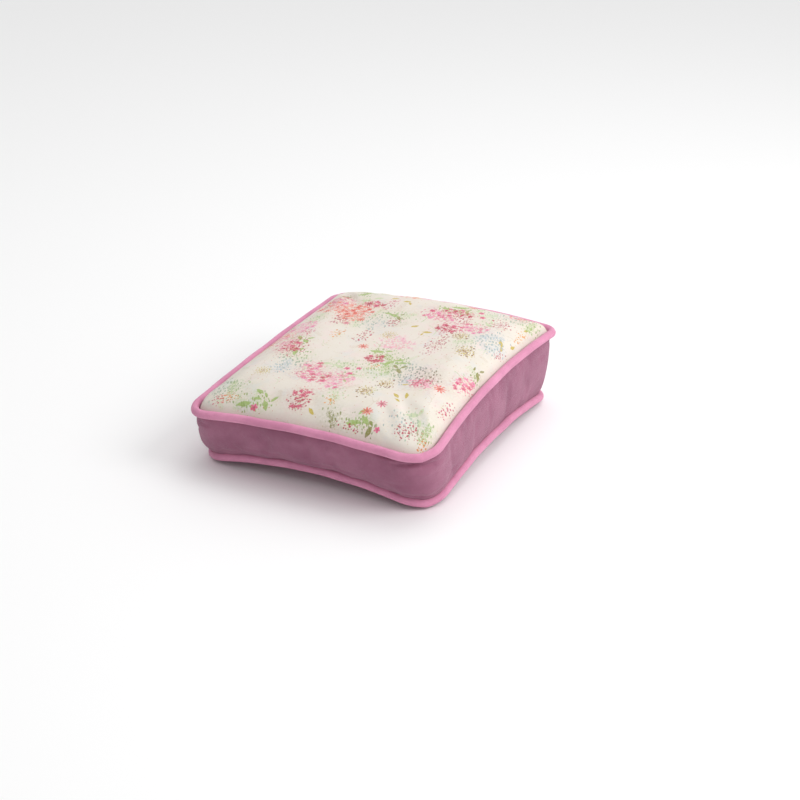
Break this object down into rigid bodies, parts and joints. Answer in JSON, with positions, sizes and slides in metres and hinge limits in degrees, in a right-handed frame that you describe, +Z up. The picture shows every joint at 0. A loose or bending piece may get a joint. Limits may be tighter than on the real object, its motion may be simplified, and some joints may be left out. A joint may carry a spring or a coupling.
{
  "type": "chair seat pad",
  "caption": "Box-edged dining chair seat pad: printed cotton top, plain boxing, corded piping round both edges, foam inside and a zip along the back.",
  "frame": {"origin": "centre of the pad's outline, at the height of the surface it rests on", "axes": "+Z up out of the printed top, +Y towards the zipped back edge, +X to the sitter's right as seen from the front"},
  "size_m": [0.353, 0.4253, 0.1243],
  "materials": {
    "foam": "matte open-cell foam",
    "wadding": "soft white fibre",
    "floral_cotton": "printed plain-weave cotton, small flowers on off-white",
    "pink_cotton": "plain-weave cotton",
    "piping_cotton": "bias-cut plain cotton over cord",
    "cord": "twisted cotton cord",
    "zip_tape": "woven polyester tape",
    "zip_coil": "satin nylon",
    "nickel": "satin nickel"
  },
  "bodies": {
    "pad": {"foam_core": "foam", "top_wadding": "wadding", "bottom_wadding": "wadding", "side_wadding": "wadding", "top_panel": "floral_cotton", "bottom_panel": "pink_cotton", "front_boxing": "pink_cotton", "zip_boxing_upper": "pink_cotton", "zip_boxing_lower": "pink_cotton", "top_piping_cover": "piping_cotton", "top_piping_cord": "cord", "bottom_piping_cover": "piping_cotton", "bottom_piping_cord": "cord", "zip_tape_upper": "zip_tape", "zip_tape_lower": "zip_tape", "zip_coil_upper": "zip_coil", "zip_coil_lower": "zip_coil", "zip_top_stops": "nickel", "zip_bottom_stop": "nickel", "zip_end_tabs": "pink_cotton"},
    "slider": {"zip_slider": "nickel"},
    "pull": {"zip_pull": "nickel"}
  },
  "joints": [
    {"name": "zip_slide", "type": "slide", "parent": "pad", "child": "slider", "axis": [-1, 0, 0], "range_m": [0, 0.224]},
    {"name": "zip_pull_swing", "type": "hinge", "parent": "slider", "child": "pull", "pos_m": [0.112, 0.2108, 0.058], "axis": [0, 0, 1], "range_deg": [-170, 0]}
  ]
}
